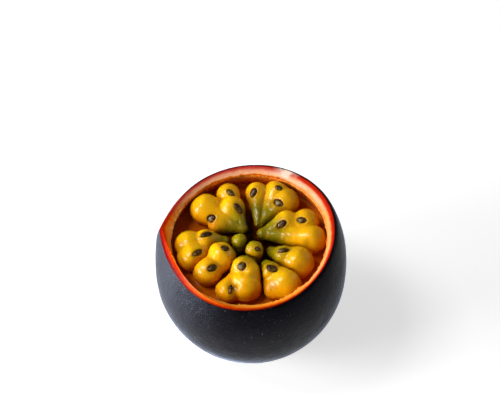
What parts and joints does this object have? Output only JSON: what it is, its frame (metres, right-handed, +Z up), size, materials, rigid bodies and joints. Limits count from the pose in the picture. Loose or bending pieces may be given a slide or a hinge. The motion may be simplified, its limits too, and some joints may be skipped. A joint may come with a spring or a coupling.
{
  "type": "passion fruit half",
  "caption": "Open half of a round purple passion fruit, cut face up, its rind full of juice and yellow pulp lobes with dark seeds.",
  "frame": {"origin": "middle of the small flat spot under the fruit, on the surface that it rests on", "axes": "+Z up through the open cut, -Y towards the camera of the reference view"},
  "size_m": [0.0544, 0.0544, 0.0461],
  "materials": {
    "skin": "near-black purple skin, satin, faintly speckled",
    "pulp": "wet yellow-orange pulp",
    "bud": "wet olive-yellow small lobes",
    "juice": "dark red-brown juice, glossy"
  },
  "bodies": {
    "root": {"rind": "skin", "juice": "juice", "pulp_back_left": "pulp", "pulp_back_right": "pulp", "pulp_right": "pulp", "pulp_front_right": "pulp", "pulp_front_lower": "pulp", "pulp_front": "pulp", "pulp_front_left": "pulp", "pulp_left": "pulp", "bud_left": "bud", "bud_right": "bud"}
  },
  "joints": []
}
